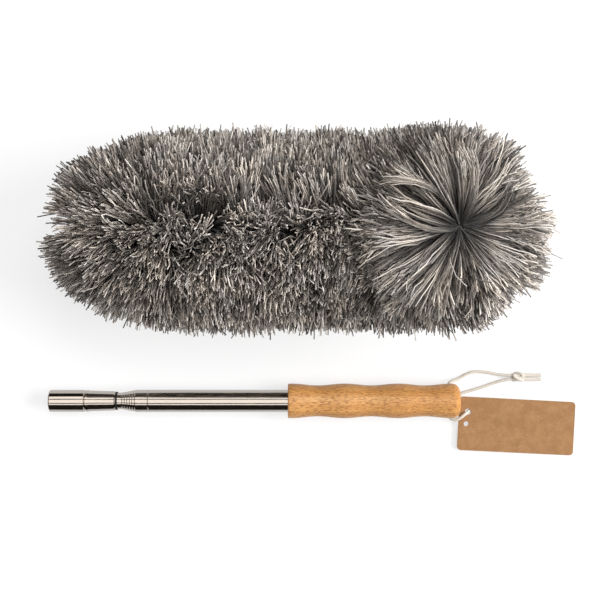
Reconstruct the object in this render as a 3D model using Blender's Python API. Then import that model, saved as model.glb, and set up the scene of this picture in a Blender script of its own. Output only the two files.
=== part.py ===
"""Telescopic duster: a bamboo grip with a seven-section steel pole, and its loose fibre head beside it.

The pole lies along X with its tip at -X and the grip at +X. The head lies behind it, at +Y, with its
free end bent upwards. Everything rests on the plane Z = 0. Lengths are in metres.
"""

import math

import bmesh
import bpy
import numpy as np
from mathutils import Vector

MILLIMETRE = 0.001

# Layout of the two loose halves on the table
LAYOUT_LENGTH = 0.372
LAYOUT_DEPTH = 0.220

# Clearances
TOUCH_GAP = 0.0003
SLIDE_GAP = 0.00014
CUT_OVERRUN = 0.002
MERGE_DISTANCE = 0.00001

# Handle
HANDLE_LENGTH = 0.320
ROUND_SIDES = 24

# Grip
GRIP_LENGTH = 0.134
GRIP_MEAN_RADIUS = 0.01275
GRIP_WAVE_HEIGHT = 0.0007
GRIP_WAVE_PITCH = 0.0417
GRIP_FIRST_CREST = 0.0024
GRIP_FRONT_ROUND = 0.001
GRIP_BUTT_ROUND = 0.0058
GRIP_BORE_DEPTH = 0.043
GRIP_SIDES = 32
GRIP_STEPS_PER_WAVE = 6
BUTT_ROUND_STEPS = 4
CORD_HOLE_FROM_BUTT = 0.0085
CORD_HOLE_RADIUS = 0.0019
CORD_HOLE_DROP = 0.008

# Telescopic sections, counted from the outside
SECTION_COUNT = 7
OUTER_TUBE_RADIUS = 0.0086
SECTION_RADIUS_STEP = 0.00036
TUBE_WALL = SECTION_RADIUS_STEP - SLIDE_GAP
TUBE_LIP = 0.00012
FERRULE_MOUTH = 0.067
FERRULE_LENGTH = 0.010
MOUTH_PITCH = 0.002
OUTER_TUBE_SEAT = 0.040
TUBE_PLUG_LENGTH = 0.004
TUBE_PLUG_FLANGE = 0.0015
COLLAR_LENGTH = 0.0035
COLLAR_PITCH = 0.005
COLLAR_SLOT_STEPS = 2

# Tip
TIP_SLEEVE_RADIUS = 0.0085
TIP_SLEEVE_LENGTH = 0.0516
TIP_SLEEVE_ROUND = 0.0008
TIP_ROUND_SHARE = 0.3
TIP_GROOVE_PLACE = 0.0282
TIP_GROOVE_HALF_WIDTH = 0.0006
TIP_GROOVE_DEPTH = 0.0006
TIP_NECK_RADIUS = 0.00805
TIP_SKIRT_RADIUS = 0.0074
TIP_SOCKET_RADIUS = 0.0070
TIP_SOCKET_DEPTH = 0.021
TIP_CAP_LENGTH = 0.003
TIP_CAP_RECESS = 0.0004
TIP_CAP_CHAMFER = 0.0005
BUFFER_RADIUS = 0.0071
BUFFER_WIDTH = 0.0014
BUFFER_CHAMFER = 0.0002
INNER_TUBE_START = 0.024

# Head: a bendable core with a tufted backing
BACKING_LENGTH = 0.258
BACKING_RADIUS = 0.0125
BACKING_THICKNESS = 0.0015
PILE_LENGTH = 0.061
PILE_SLICES = 7
ROWS_PER_SLICE = 4
BACKING_COLUMNS = 26
PLAIN_SIDES = 36
PLAIN_TIPS = 6
TUFT_WIDTH = 0.012
TUFT_THICKNESS = 0.0078
TUFT_TIP_SHARE = 0.5
TUFT_BELLY_SHARE = 0.62
TUFT_SWAY_ALONG = 0.0010
TUFT_SWAY_AROUND = 0.0025
PILE_JITTER = 0.004
PILE_DROOP = 0.006
FLAT_DEPTH = 0.0005
BEND_START = 0.157
BEND_RADIUS = 0.100
BEND_DEGREES = 58.0
INSIDE_SHORTENING_SHARE = 0.30
LEFT_FAN_DEGREES = 62.0
LEFT_FAN_SHARE = 0.14
RIGHT_FAN_DEGREES = 38.0
RIGHT_FAN_SHARE = 0.30
BACK_EASING_SHARE = 0.65
FRONT_EASING_SHARE = 0.20
PARTING_DEGREES = 80.0
PARTING_BACK_DEGREES = 30.0
PARTING_FRONT_DEGREES = 8.0
PARTING_FADE_DEGREES = 50.0
PARTING_LOWEST_DEGREES = -30.0
PARTING_START_SHARE = 0.08
PARTING_FULL_SHARE = 0.25
CROWN_COMB_DEGREES = 28.0
CROWN_COMB_PLACE_DEGREES = -60.0
CROWN_COMB_SPREAD_DEGREES = 45.0
CROWN_COMB_START_SHARE = 0.7
PILE_SEED = 11

# Head: what the backing is fixed to
SPINE_RADIUS = 0.003
SOCKET_BORE_RADIUS = 0.0088
SOCKET_MOUTH = -0.020
SOCKET_DEPTH = 0.032
SOCKET_FLOOR = 0.004
SNAP_GROOVE_DEPTH = 0.0008
SNAP_RING_RADIUS = 0.0006
SNAP_RING_FROM_MOUTH = 0.0285
SNAP_RING_SLOT_STEPS = 3
CAP_THICKNESS = 0.005
CAP_STEM_LENGTH = 0.006
CAP_ROUND = 0.002

# Hang cord
CORD_RADIUS = 0.00125
CORD_POINT_PITCH = 0.003
KNOT_RADIUS = 0.0040
KNOT_LENGTH = 0.0085
KNOT_OUTLINE_SHARES = [(0, 0), (0, 0.62), (0.25, 0.95), (0.5, 1), (0.75, 0.95), (1, 0.62), (1, 0)]
KNOT_PLACE = (0.1812, -0.0786)
TAIL_LENGTH = 0.0135
TAIL_RADIUS = 0.0015
TAIL_ROUND = 0.0005

# Kraft tag
TAG_LENGTH = 0.0925
TAG_WIDTH = 0.0423
TAG_THICKNESS = 0.0006
TAG_CORNER = 0.003
TAG_CORNER_STEPS = 4
TAG_TURN_DEGREES = -3.1
TAG_LEFT_HEIGHT = 0.00405
TAG_TOP_LEFT = (0.1352, -0.0937)
TAG_CORD_HOLE = (0.0072, 0.0118)
TAG_SPARE_HOLE = (0.0062, 0.0214)
TAG_CORD_HOLE_RADIUS = 0.0024
TAG_SPARE_HOLE_RADIUS = 0.0019
HOLE_SIDES = 20

# Places that follow from the sizes
GRIP_RADIUS = GRIP_MEAN_RADIUS + GRIP_WAVE_HEIGHT
TIP_X = -LAYOUT_LENGTH / 2
GRIP_START = HANDLE_LENGTH - GRIP_LENGTH
HANDLE_AXIS = Vector((TIP_X, GRIP_RADIUS - LAYOUT_DEPTH / 2, GRIP_RADIUS))
PILE_RADIUS = BACKING_RADIUS + PILE_LENGTH
BEND_ANGLE = math.radians(BEND_DEGREES)
HEAD_AXIS_START = -0.1253
HEAD_AXIS_Y = 0.0325


def material(name, colour, roughness, metallic=0.0):
    """A plain finish with the colour, roughness and metallic value of one real material."""
    finish = bpy.data.materials.new(name)
    finish.use_nodes = True
    shader = finish.node_tree.nodes["Principled BSDF"]
    shader.inputs["Base Color"].default_value = (*colour, 1.0)
    shader.inputs["Roughness"].default_value = roughness
    shader.inputs["Metallic"].default_value = metallic
    return finish


def add_object(name, mesh, finish, place=(0, 0, 0), smooth=True):
    """Links a mesh to the scene as one named piece."""
    piece = bpy.data.objects.new(name, mesh)
    piece.location = place
    mesh.materials.append(finish)
    if smooth:
        mesh.shade_smooth()
        mesh.set_sharp_from_angle(angle=math.radians(35))
    bpy.context.scene.collection.objects.link(piece)
    return piece


def finish_mesh(name, bm):
    """Merges what coincides, turns the faces outwards and returns the mesh."""
    bmesh.ops.remove_doubles(bm, verts=bm.verts, dist=MERGE_DISTANCE)
    bmesh.ops.recalc_face_normals(bm, faces=bm.faces)
    mesh = bpy.data.meshes.new(name)
    bm.to_mesh(mesh)
    bm.free()
    return mesh


def turned_mesh(name, outline, sides=ROUND_SIDES):
    """Spins an outline of (place along X, radius) points about X.

    An outline with both ends on the axis gives a solid, and any other is closed into a ring.
    """
    bm = bmesh.new()
    points = [bm.verts.new((x, 0, -radius)) for x, radius in outline]
    edges = [bm.edges.new(pair) for pair in zip(points, points[1:])]
    if outline[0][1] > 0:
        edges.append(bm.edges.new((points[-1], points[0])))
    bmesh.ops.spin(bm, geom=points + edges, cent=(0, 0, 0), axis=(1, 0, 0),
                   angle=math.tau, steps=sides, use_merge=True)
    return finish_mesh(name, bm)


def split_ring_mesh(name, outline, slot_steps, sides=ROUND_SIDES):
    """Spins a closed outline about X but leaves a slot of a few steps open, as on a sprung ring."""
    bm = bmesh.new()
    points = [bm.verts.new((x, 0, -radius)) for x, radius in outline]
    face = bm.faces.new(points)
    turn = math.tau * (sides - slot_steps) / sides
    bmesh.ops.spin(bm, geom=points + list(face.edges) + [face], cent=(0, 0, 0), axis=(1, 0, 0),
                   angle=turn, steps=sides - slot_steps)
    return finish_mesh(name, bm)


def cut_hole(piece, cutter):
    """Subtracts a hidden cutter from a piece."""
    cutter.hide_render = True
    cutter.display_type = "WIRE"
    cut = piece.modifiers.new("hole", "BOOLEAN")
    cut.operation = "DIFFERENCE"
    cut.solver = "EXACT"
    cut.object = cutter


# Handle

def grip_radius(along):
    """The grip's finger waves: a cosine about the mean radius."""
    phase = math.tau * (along - GRIP_FIRST_CREST) / GRIP_WAVE_PITCH
    return GRIP_MEAN_RADIUS + GRIP_WAVE_HEIGHT * math.cos(phase)


def make_grip(finish, cutter_finish):
    """The turned bamboo grip: waved outside, blind bore for the pole, rounded butt, cross hole."""
    bore_radius = OUTER_TUBE_RADIUS + TOUCH_GAP
    outline = [(GRIP_BORE_DEPTH, 0), (GRIP_BORE_DEPTH, bore_radius), (0, bore_radius)]
    outline.append((0, grip_radius(0) - GRIP_FRONT_ROUND))
    step = GRIP_WAVE_PITCH / GRIP_STEPS_PER_WAVE
    butt_start = GRIP_LENGTH - GRIP_BUTT_ROUND
    place = GRIP_FIRST_CREST
    while place < butt_start:
        outline.append((place, grip_radius(place)))
        place += step
    butt_radius = grip_radius(butt_start)
    for k in range(BUTT_ROUND_STEPS + 1):
        turn = math.pi / 2 * k / BUTT_ROUND_STEPS
        outline.append((butt_start + GRIP_BUTT_ROUND * math.sin(turn),
                        butt_radius - GRIP_BUTT_ROUND * (1 - math.cos(turn))))
    outline.append((GRIP_LENGTH, 0))
    place = HANDLE_AXIS + Vector((GRIP_START, 0, 0))
    grip = add_object("grip", turned_mesh("grip", outline, GRIP_SIDES), finish, place)

    half = GRIP_RADIUS + CUT_OVERRUN
    drill = turned_mesh("cord_hole", [(-half, 0), (-half, CORD_HOLE_RADIUS),
                                      (half, CORD_HOLE_RADIUS), (half, 0)], HOLE_SIDES)
    cutter = add_object("cord_hole_cutter", drill, cutter_finish, cord_hole_centre())
    cutter.rotation_euler = (0, 0, math.pi / 2)
    cut_hole(grip, cutter)


def cord_hole_centre():
    """The middle of the cross hole, which runs along Y below the grip's own axis."""
    return HANDLE_AXIS + Vector((HANDLE_LENGTH - CORD_HOLE_FROM_BUTT, 0, -CORD_HOLE_DROP))


def section_radius(number):
    """Outer radius of a telescopic section, counted from 1 at the outside."""
    return OUTER_TUBE_RADIUS - SECTION_RADIUS_STEP * (number - 1)


def tube_outline(start, end, radius):
    """A thin tube with a slightly broken outer edge at its mouth."""
    inner = radius - TUBE_WALL
    return [(start, inner), (start, radius - TUBE_LIP), (start + TUBE_LIP, radius),
            (end, radius), (end, inner)]


def make_pole(steel, brass, nylon):
    """The ferrule, the seven nested tubes, and the sprung collar at the inner end of each that slides."""
    ferrule_end = FERRULE_MOUTH + FERRULE_LENGTH
    add_object("mouth_ferrule",
               turned_mesh("mouth_ferrule",
                           tube_outline(FERRULE_MOUTH, ferrule_end, OUTER_TUBE_RADIUS)),
               steel, HANDLE_AXIS)
    outer_end = GRIP_START + OUTER_TUBE_SEAT
    add_object("tube_1",
               turned_mesh("tube_1",
                           tube_outline(ferrule_end + TOUCH_GAP, outer_end, OUTER_TUBE_RADIUS)),
               steel, HANDLE_AXIS)

    plug_radius = OUTER_TUBE_RADIUS - TUBE_WALL - SLIDE_GAP
    plug_start = outer_end - TUBE_PLUG_LENGTH
    flange_start = outer_end + TOUCH_GAP
    flange_end = flange_start + TUBE_PLUG_FLANGE
    add_object("tube_plug",
               turned_mesh("tube_plug", [(plug_start, 0), (plug_start, plug_radius),
                                         (flange_start, plug_radius), (flange_start, OUTER_TUBE_RADIUS),
                                         (flange_end, OUTER_TUBE_RADIUS), (flange_end, 0)]),
               nylon, HANDLE_AXIS)

    for number in range(2, SECTION_COUNT + 1):
        radius = section_radius(number)
        inner = radius - TUBE_WALL
        collar_end = plug_start - TOUCH_GAP - COLLAR_PITCH * (number - 2)
        collar_start = collar_end - COLLAR_LENGTH
        tube_end = collar_start - TOUCH_GAP
        mouth = FERRULE_MOUTH - MOUTH_PITCH * (number - 1)
        if number == SECTION_COUNT:
            mouth = INNER_TUBE_START
        name = f"tube_{number}"
        add_object(name, turned_mesh(name, tube_outline(mouth, tube_end, radius)), steel, HANDLE_AXIS)
        name = f"friction_collar_{number}"
        outline = [(collar_start, inner), (collar_start, radius), (collar_end, radius),
                   (collar_end, inner)]
        add_object(name, split_ring_mesh(name, outline, COLLAR_SLOT_STEPS), brass, HANDLE_AXIS)


def make_tip(steel, rubber):
    """The tip sleeve that the head's socket slides over, its end cap and its rubber buffer."""
    tube_bore = section_radius(SECTION_COUNT) + TOUCH_GAP
    groove_start = TIP_GROOVE_PLACE - TIP_GROOVE_HALF_WIDTH
    groove_end = TIP_GROOVE_PLACE + TIP_GROOVE_HALF_WIDTH
    shoulder = TIP_SLEEVE_ROUND * TIP_ROUND_SHARE
    outline = [(0, TIP_SOCKET_RADIUS), (0, TIP_SLEEVE_RADIUS - TIP_SLEEVE_ROUND),
               (shoulder, TIP_SLEEVE_RADIUS - shoulder),
               (TIP_SLEEVE_ROUND, TIP_SLEEVE_RADIUS), (groove_start, TIP_SLEEVE_RADIUS),
               (TIP_GROOVE_PLACE, TIP_SLEEVE_RADIUS - TIP_GROOVE_DEPTH), (groove_end, TIP_NECK_RADIUS),
               (TIP_SLEEVE_LENGTH, TIP_SKIRT_RADIUS), (TIP_SLEEVE_LENGTH, tube_bore),
               (TIP_SOCKET_DEPTH, tube_bore), (TIP_SOCKET_DEPTH, TIP_SOCKET_RADIUS)]
    add_object("tip_sleeve", turned_mesh("tip_sleeve", outline), steel, HANDLE_AXIS)

    cap_radius = TIP_SOCKET_RADIUS - TOUCH_GAP
    cap_end = TIP_CAP_RECESS + TIP_CAP_LENGTH
    outline = [(TIP_CAP_RECESS, 0), (TIP_CAP_RECESS, cap_radius - TIP_CAP_CHAMFER),
               (TIP_CAP_RECESS + TIP_CAP_CHAMFER, cap_radius), (cap_end, cap_radius), (cap_end, 0)]
    add_object("tip_end_cap", turned_mesh("tip_end_cap", outline), steel, HANDLE_AXIS)

    start = TIP_SLEEVE_LENGTH + TOUCH_GAP
    end = start + BUFFER_WIDTH
    outline = [(start, tube_bore), (start, BUFFER_RADIUS - BUFFER_CHAMFER),
               (start + BUFFER_CHAMFER, BUFFER_RADIUS), (end - BUFFER_CHAMFER, BUFFER_RADIUS),
               (end, BUFFER_RADIUS - BUFFER_CHAMFER), (end, tube_bore)]
    add_object("tip_buffer_ring", turned_mesh("tip_buffer_ring", outline), rubber, HANDLE_AXIS)


# Head

def bend(points):
    """Bends straight head points (x along the core, y, z from its line) up about Y at the free end.

    The line follows an arc of BEND_RADIUS from BEND_START on, and a point keeps its distance from it.
    """
    points = np.asarray(points, float)
    x, y, z = points[..., 0], points[..., 1], points[..., 2]
    turn = np.clip((x - BEND_START) / BEND_RADIUS, 0, BEND_ANGLE)
    beyond = np.maximum(x - BEND_START - BEND_RADIUS * BEND_ANGLE, 0)
    along = np.minimum(x, BEND_START) + (BEND_RADIUS - z) * np.sin(turn) + beyond * np.cos(turn)
    height = BEND_RADIUS - (BEND_RADIUS - z) * np.cos(turn) + beyond * np.sin(turn)
    return np.stack([along, y, height], axis=-1)


def bent_tube_mesh(name, outline, sides=ROUND_SIDES):
    """A turned mesh about the head's line, with its long runs divided so that it can follow the bend."""
    fine = []
    longest = BACKING_LENGTH / (PILE_SLICES * ROWS_PER_SLICE)
    closed = outline[0][1] > 0
    for k, (x, radius) in enumerate(outline):
        fine.append((x, radius))
        if k + 1 == len(outline) and not closed:
            break
        after = outline[(k + 1) % len(outline)]
        pieces = max(1, round(abs(after[0] - x) / longest))
        for share in np.linspace(0, 1, pieces + 1)[1:-1]:
            fine.append((x + (after[0] - x) * share, radius + (after[1] - radius) * share))
    mesh = turned_mesh(name, fine, sides)
    bend_mesh(mesh)
    return mesh


def bend_mesh(mesh):
    """Applies the head's bend to a mesh made about the straight line."""
    places = np.empty(len(mesh.vertices) * 3)
    mesh.vertices.foreach_get("co", places)
    mesh.vertices.foreach_set("co", bend(places.reshape(-1, 3)).ravel())
    mesh.update()


def fan_angle(share, around):
    """How far a tuft leans out of square at a share of the backing's length and a turn, in radians."""
    left = np.clip(1 - share / LEFT_FAN_SHARE, 0, 1) ** 1.5
    right = np.clip(1 - (1 - share) / RIGHT_FAN_SHARE, 0, 1)
    easing = BACK_EASING_SHARE * np.clip(np.cos(around), 0, 1)
    easing = easing + FRONT_EASING_SHARE * np.clip(-np.cos(around), 0, 1)
    right = right * (1 - easing)
    return -math.radians(LEFT_FAN_DEGREES) * left + math.radians(RIGHT_FAN_DEGREES) * right


def combed_swing(share, around):
    """How far a tuft's tip is combed round the core, in radians.

    Upper tufts fall to +Y or to -Y of a parting on top. Both falls are greatest at the parting, and die
    away round the core and at the left end. Near the free end, the tufts behind are combed to the front.
    """
    near_end = max((share - CROWN_COMB_START_SHARE) / (1 - CROWN_COMB_START_SHARE), 0)
    from_place = (math.degrees(around) - CROWN_COMB_PLACE_DEGREES + 180) % 360 - 180
    comb = -CROWN_COMB_DEGREES * near_end * math.exp(-(from_place / CROWN_COMB_SPREAD_DEGREES) ** 2)
    angle = (math.degrees(around) - PARTING_LOWEST_DEGREES) % 360 + PARTING_LOWEST_DEGREES
    fall = math.exp(-abs(angle - PARTING_DEGREES) / PARTING_FADE_DEGREES)
    strength = (share - PARTING_START_SHARE) / (PARTING_FULL_SHARE - PARTING_START_SHARE)
    strength = min(max(strength, 0), 1)
    degrees = -PARTING_BACK_DEGREES if angle < PARTING_DEGREES else PARTING_FRONT_DEGREES
    return math.radians(degrees * fall * strength + comb)


def tuft_point(base, around, lean, reach):
    """A point of a tuft's own line, a distance of reach out from its base on the backing."""
    radius = BACKING_RADIUS + reach * math.cos(lean)
    return base + reach * math.sin(lean), radius * math.cos(around), radius * math.sin(around)


def tuft_ring(base, around, lean, reach, length, width):
    """Four corners of a tuft's section, square to its line: length along the core, width around it."""
    x, y, z = tuft_point(base, around, lean, reach)
    outwards = np.array((math.sin(lean), math.cos(lean) * math.cos(around),
                         math.cos(lean) * math.sin(around)))
    tangent = np.array((0.0, -math.sin(around), math.cos(around)))
    lengthwise = np.cross(tangent, outwards)
    if lengthwise[0] < 0:
        lengthwise = -lengthwise
    centre = np.array((x, y, z))
    corners = ((-1, -1), (-1, 1), (1, 1), (1, -1))
    return [centre + lengthwise * a * length / 2 + tangent * b * width / 2 for a, b in corners]


def pile_slice(index, randoms):
    """One slice of backing as a grid of cells, every second cell drawn out into a four-sided tuft."""
    rows = PILE_SLICES * ROWS_PER_SLICE
    first = index * ROWS_PER_SLICE
    cell_turn = math.tau / BACKING_COLUMNS
    cell_length = BACKING_LENGTH / rows
    inner_radius = BACKING_RADIUS - BACKING_THICKNESS
    bm = bmesh.new()

    def ring(x, radius):
        return [bm.verts.new((x, radius * math.cos(k * cell_turn), radius * math.sin(k * cell_turn)))
                for k in range(BACKING_COLUMNS)]

    places = [(first + row) * cell_length for row in range(ROWS_PER_SLICE + 1)]
    places[-1] -= TOUCH_GAP
    outer = [ring(x, BACKING_RADIUS) for x in places]
    inner = [ring(x, inner_radius) for x in places]
    columns = range(BACKING_COLUMNS)
    for k in columns:
        m = (k + 1) % BACKING_COLUMNS
        for near, far in zip(inner, inner[1:]):
            bm.faces.new((near[k], far[k], far[m], near[m]))
        bm.faces.new((inner[0][k], inner[0][m], outer[0][m], outer[0][k]))
        bm.faces.new((inner[-1][k], outer[-1][k], outer[-1][m], inner[-1][m]))
    for row in range(ROWS_PER_SLICE):
        share = (first + row + 0.5) / rows
        for k in columns:
            m = (k + 1) % BACKING_COLUMNS
            cell = (outer[row][k], outer[row][m], outer[row + 1][m], outer[row + 1][k])
            if (first + row + k) % 2:
                bm.faces.new(cell)
                continue
            around = (k + 0.5) * cell_turn
            grow_tuft(bm, cell, share, around, randoms)
    bmesh.ops.recalc_face_normals(bm, faces=bm.faces)
    mesh = bpy.data.meshes.new(f"pile_{index + 1}")
    bm.to_mesh(mesh)
    bm.free()
    return mesh


def plain_slice():
    """The slice round the pole's socket, as the plain outer shape of its pile: a ring that leans out.

    Its outline passes through the tips that the longest tufts would have, from the first row to the
    slice's end, so that the way into the socket stays as wide as the pile leaves it.
    """
    inner_radius = BACKING_RADIUS - BACKING_THICKNESS
    end = BACKING_LENGTH / PILE_SLICES - TOUCH_GAP
    outline = [(0, inner_radius), (0, BACKING_RADIUS)]
    for share in np.linspace(0.5 / ROWS_PER_SLICE, 1, PLAIN_TIPS) / PILE_SLICES:
        outline.append(tuft_point(share * BACKING_LENGTH, 0, float(fan_angle(share, math.pi)), PILE_LENGTH)[:2])
    outline += [(end, BACKING_RADIUS), (end, inner_radius)]
    return turned_mesh("pile_1", outline, PLAIN_SIDES)


def grow_tuft(bm, cell, share, around, randoms):
    """Draws a backing cell out into a tuft: root, wide belly and narrower blunt tip."""
    base = share * BACKING_LENGTH
    lean = float(fan_angle(share, around))
    bent_share = min(max((base - BEND_START) / (BEND_RADIUS * BEND_ANGLE), 0), 1)
    shortening = INSIDE_SHORTENING_SHARE * max(math.sin(around), 0) * math.sin(math.pi * bent_share)
    reach = (PILE_LENGTH + PILE_JITTER * (randoms.random() - 1)) * (1 - shortening)
    swing = TUFT_SWAY_AROUND * (2 * randoms.random() - 1) / PILE_RADIUS + combed_swing(share, around)
    sway_along = TUFT_SWAY_ALONG * (2 * randoms.random() - 1)
    below = cell
    tip = (TUFT_THICKNESS * TUFT_TIP_SHARE, TUFT_WIDTH * TUFT_TIP_SHARE)
    for part, (length, width) in ((TUFT_BELLY_SHARE, (TUFT_THICKNESS, TUFT_WIDTH)), (1.0, tip)):
        corners = tuft_ring(base + sway_along * part, around + swing * part, lean, reach * part,
                            length, width)
        above = [bm.verts.new(corner) for corner in corners]
        for k in range(4):
            m = (k + 1) % 4
            bm.faces.new((below[k], below[m], above[m], above[k]))
        below = above
    bm.faces.new(below)


def make_head(pile_finish, foam, nylon, spring):
    """The pile slices on their core, the socket and snap ring that take the pole, and the end cap."""
    randoms = np.random.default_rng(PILE_SEED)
    slices = []
    for index in range(PILE_SLICES):
        mesh = pile_slice(index, randoms) if index else plain_slice()
        places = np.empty(len(mesh.vertices) * 3)
        mesh.vertices.foreach_get("co", places)
        places = places.reshape(-1, 3)
        reach = np.hypot(places[:, 1], places[:, 2])
        out = np.clip((reach - BACKING_RADIUS) / PILE_LENGTH, 0, None)
        places = bend(places)
        places[:, 2] -= PILE_DROOP * out ** 2
        slices.append((mesh, places))

    table = min(places[:, 2].min() for _, places in slices[1:]) + FLAT_DEPTH
    head_place = Vector((HEAD_AXIS_START, HEAD_AXIS_Y, -table))
    for mesh, places in slices:
        places[:, 2] = np.maximum(places[:, 2], table)
        mesh.vertices.foreach_set("co", places.ravel())
        mesh.update()
        add_object(mesh.name, mesh, pile_finish, head_place, smooth=False)

    core_radius = BACKING_RADIUS - BACKING_THICKNESS - TOUCH_GAP
    spine_hole = SPINE_RADIUS + TOUCH_GAP
    socket_end = SOCKET_MOUTH + SOCKET_DEPTH + SOCKET_FLOOR
    core_start = socket_end + TOUCH_GAP
    core_end = BACKING_LENGTH - CAP_STEM_LENGTH - TOUCH_GAP
    outline = [(core_start, spine_hole), (core_start, core_radius), (core_end, core_radius),
               (core_end, spine_hole)]
    add_object("core_sleeve", bent_tube_mesh("core_sleeve", outline), foam, head_place)

    spine_start = SOCKET_MOUTH + SOCKET_DEPTH + TOUCH_GAP
    spine_end = core_end
    outline = [(spine_start, 0), (spine_start, SPINE_RADIUS), (spine_end, SPINE_RADIUS), (spine_end, 0)]
    add_object("spine_wire", bent_tube_mesh("spine_wire", outline, HOLE_SIDES // 2), spring, head_place)

    ring_x = SOCKET_MOUTH + SNAP_RING_FROM_MOUTH
    groove_radius = SOCKET_BORE_RADIUS + SNAP_GROOVE_DEPTH
    groove_half = SNAP_RING_RADIUS + TOUCH_GAP
    floor_start = SOCKET_MOUTH + SOCKET_DEPTH
    outline = [(SOCKET_MOUTH, SOCKET_BORE_RADIUS), (SOCKET_MOUTH, core_radius),
               (socket_end, core_radius), (socket_end, spine_hole), (floor_start, spine_hole),
               (floor_start, SOCKET_BORE_RADIUS), (ring_x + groove_half, SOCKET_BORE_RADIUS),
               (ring_x + groove_half, groove_radius), (ring_x - groove_half, groove_radius),
               (ring_x - groove_half, SOCKET_BORE_RADIUS)]
    add_object("head_socket", turned_mesh("head_socket", outline), nylon, head_place)

    ring_line = groove_radius - SNAP_RING_RADIUS - TOUCH_GAP
    section = []
    for k in range(6):
        turn = math.tau * k / 6
        section.append((ring_x + SNAP_RING_RADIUS * math.cos(turn),
                        ring_line + SNAP_RING_RADIUS * math.sin(turn)))
    add_object("socket_snap_ring",
               split_ring_mesh("socket_snap_ring", section, SNAP_RING_SLOT_STEPS), spring, head_place)

    stem_radius = core_radius
    cap_start = BACKING_LENGTH + TOUCH_GAP
    cap_end = cap_start + CAP_THICKNESS
    outline = [(BACKING_LENGTH - CAP_STEM_LENGTH, 0), (BACKING_LENGTH - CAP_STEM_LENGTH, stem_radius),
               (cap_start, stem_radius), (cap_start, BACKING_RADIUS),
               (cap_end - CAP_ROUND, BACKING_RADIUS), (cap_end, BACKING_RADIUS - CAP_ROUND),
               (cap_end, 0)]
    mesh = turned_mesh("head_end_cap", outline)
    bend_mesh(mesh)
    add_object("head_end_cap", mesh, nylon, head_place)


# Hang cord and tag

def smooth_route(route):
    """Points at an even pitch on a smooth curve (Catmull-Rom) through a hand-chosen route."""
    knots = np.asarray(route, float)
    padded = np.vstack([2 * knots[0] - knots[1], knots, 2 * knots[-1] - knots[-2]])
    shares = np.linspace(0, 1, 24, endpoint=False)[:, None]
    runs = []
    for a, b, c, d in zip(padded, padded[1:], padded[2:], padded[3:]):
        runs.append(0.5 * (2 * b + (c - a) * shares + (2 * a - 5 * b + 4 * c - d) * shares ** 2
                           + (3 * b - a - 3 * c + d) * shares ** 3))
    fine = np.vstack(runs + [knots[-1:]])
    lengths = np.concatenate([[0], np.cumsum(np.linalg.norm(np.diff(fine, axis=0), axis=1))])
    count = max(2, round(lengths[-1] / CORD_POINT_PITCH)) + 1
    even = np.linspace(0, lengths[-1], count)
    return np.stack([np.interp(even, lengths, fine[:, k]) for k in range(3)], axis=1)


# The two runs of the hang cord, in millimetres, from the middle of the grip's cross hole to the knot.
UPPER_ROUTE = [(125.5, -96.4, 5.45), (125.5, -91.0, 5.45), (125.6, -86.6, 5.4), (127.3, -83.0, 4.6),
               (131.2, -81.2, 3.1), (135.2, -79.7, 1.9), (140.0, -77.0, 1.6), (146.5, -74.6, 1.6),
               (156.0, -74.9, 1.7), (164.6, -76.4, 2.2), (171.9, -77.2, 3.6), (176.6, -77.2, 4.0)]
LOWER_ROUTE = [(125.5, -96.7, 5.45), (125.5, -102.5, 5.45), (125.7, -107.3, 5.5), (128.0, -110.9, 6.0),
               (131.8, -112.0, 6.8), (135.6, -110.4, 7.2), (138.6, -108.0, 6.8), (140.5, -106.7, 5.5),
               (142.0, -105.8, 3.8), (143.6, -105.0, 2.2), (146.4, -105.0, 1.45), (150.6, -107.8, 1.35),
               (155.0, -110.0, 1.38), (159.6, -109.6, 1.45), (162.0, -106.2, 1.4),
               (160.8, -102.6, 1.35), (157.0, -101.1, 1.4), (150.0, -101.4, 1.5),
               (143.0, -101.0, 1.45), (138.2, -101.1, 1.38), (134.4, -98.9, 1.35),
               (133.6, -95.2, 1.35), (136.0, -92.0, 1.35), (140.0, -90.6, 1.45), (145.0, -89.2, 1.6),
               (152.5, -86.9, 1.7), (161.0, -83.9, 2.0), (170.6, -80.9, 3.4), (176.6, -79.9, 4.0)]


def make_cord(cotton):
    """The hang cord in two runs from the grip's cross hole to the knot, the knot and its two ends."""
    knot_start = KNOT_PLACE[0] - KNOT_LENGTH / 2
    for name, route in (("hang_cord_upper", UPPER_ROUTE), ("hang_cord_lower", LOWER_ROUTE)):
        line = bpy.data.curves.new(name, "CURVE")
        line.dimensions = "3D"
        line.bevel_depth = CORD_RADIUS
        line.bevel_resolution = 2
        line.use_fill_caps = True
        line.twist_mode = "Z_UP"
        spline = line.splines.new("POLY")
        points = smooth_route(np.array(route) * MILLIMETRE)
        spline.points.add(len(points) - 1)
        for point, place in zip(spline.points, points):
            point.co = (*place, 1)
        line.materials.append(cotton)
        bpy.context.scene.collection.objects.link(bpy.data.objects.new(name, line))

    outline = [(KNOT_LENGTH * along, KNOT_RADIUS * out) for along, out in KNOT_OUTLINE_SHARES]
    place = Vector((knot_start, KNOT_PLACE[1], KNOT_RADIUS))
    add_object("cord_knot", turned_mesh("cord_knot", outline, HOLE_SIDES), cotton, place)

    tail_start = KNOT_LENGTH + TOUCH_GAP
    tail_end = tail_start + TAIL_LENGTH
    outline = [(tail_start, 0), (tail_start, TAIL_RADIUS), (tail_end - TAIL_ROUND, TAIL_RADIUS),
               (tail_end, TAIL_RADIUS - TAIL_ROUND), (tail_end, 0)]
    offset = TAIL_RADIUS + TOUCH_GAP / 2
    for name, side in (("cord_end_upper", 1), ("cord_end_lower", -1)):
        shift = Vector((0, side * offset, 0))
        add_object(name, turned_mesh(name, outline, HOLE_SIDES // 2), cotton, place + shift)


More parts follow.
